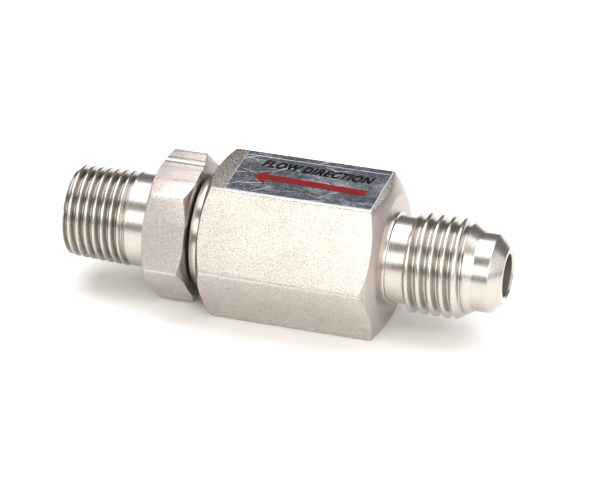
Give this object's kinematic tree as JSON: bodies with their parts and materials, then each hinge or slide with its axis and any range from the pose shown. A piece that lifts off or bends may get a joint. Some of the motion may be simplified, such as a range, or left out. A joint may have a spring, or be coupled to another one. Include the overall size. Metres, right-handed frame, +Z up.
{
  "type": "check valve",
  "caption": "Straight in-line dual check valve with a hexagonal body, a 45-degree flare inlet thread, a taper pipe thread outlet and spring-loaded poppets inside.",
  "frame": {"origin": "on the flow axis, midway between the face of the flare nose and the face of the pipe-thread end", "axes": "+X along the flow axis towards the flare inlet, so that flow runs towards -X; +Z up, square to the hex flat that carries the flow label; the body rests on the opposite flat, whose normal is -Z; +Y completes the right-handed frame"},
  "size_m": [0.0486, 0.0182, 0.0159],
  "materials": {
    "body_steel": "satin bar stock, drawn flats and turned ends",
    "connector_steel": "satin bar stock, turned thread and shank",
    "seat_steel": "fine turned",
    "spring_steel": "drawn wire",
    "rubber": "moulded, slightly matt",
    "poppet_plastic": "moulded, off-white",
    "cage_plastic": "moulded, blue-grey",
    "label_foil": "mirror-like foil, scuffed",
    "red_ink": "printed ink",
    "black_ink": "printed ink"
  },
  "bodies": {
    "housing": {"valve_body": "body_steel", "outlet_connector": "connector_steel", "connector_o_ring": "rubber", "first_seat": "seat_steel", "first_seat_o_ring": "rubber", "first_spring": "spring_steel", "first_cage": "cage_plastic", "second_seat": "seat_steel", "second_seat_o_ring": "rubber", "second_spring": "spring_steel", "second_cage": "cage_plastic", "flow_label": "label_foil", "flow_arrow": "red_ink", "flow_word": "black_ink"},
    "first_poppet_group": {"first_poppet": "poppet_plastic", "first_poppet_seal": "rubber", "first_seal_rivet": "seat_steel"},
    "second_poppet_group": {"second_poppet": "poppet_plastic", "second_poppet_seal": "rubber", "second_seal_rivet": "seat_steel"}
  },
  "joints": [
    {"name": "first_poppet_lift", "type": "slide", "parent": "housing", "child": "first_poppet_group", "axis": [-1, 0, 0], "range_m": [0, 0.0012], "stiffness_N_per_m": 150, "springref_m": -0.0018, "deforming": ["first_spring"]},
    {"name": "second_poppet_lift", "type": "slide", "parent": "housing", "child": "second_poppet_group", "axis": [-1, 0, 0], "range_m": [0, 0.0012], "stiffness_N_per_m": 190, "springref_m": -0.0015, "deforming": ["second_spring"]}
  ]
}
